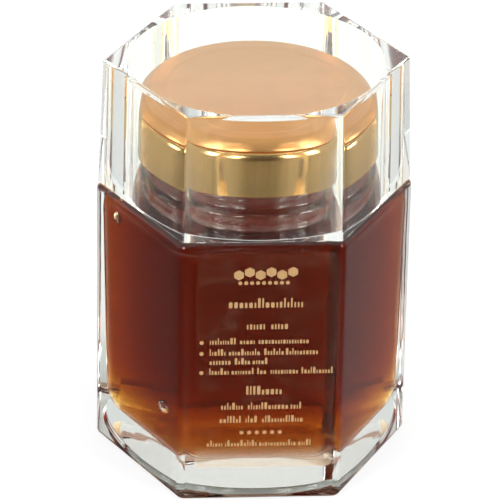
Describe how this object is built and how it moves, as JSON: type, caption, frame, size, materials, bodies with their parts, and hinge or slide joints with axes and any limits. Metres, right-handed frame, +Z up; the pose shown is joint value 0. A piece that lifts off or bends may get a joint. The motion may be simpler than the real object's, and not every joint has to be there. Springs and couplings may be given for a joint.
{
  "type": "honey jar",
  "caption": "Hexagonal glass jar of honey with a round gold lid under a clear hexagonal overcap and a clear film label on one face.",
  "frame": {"origin": "middle of the underside, on the surface the jar stands on", "axes": "+Z up along the jar's middle, -Y out of the face with the label, +X towards a vertical corner"},
  "size_m": [0.0728, 0.0644, 0.0985],
  "materials": {
    "clear_glass": "polished, faint green",
    "honey": "clear dark amber, wet",
    "gold": "satin top, polished band",
    "clear_acrylic": "polished, colourless",
    "printed_film": "clear film with gold-coloured print"
  },
  "bodies": {
    "root": {"glass_jar": "clear_glass", "honey": "honey", "gold_cap": "gold", "clear_sleeve": "clear_acrylic", "label_film": "printed_film"}
  },
  "joints": []
}
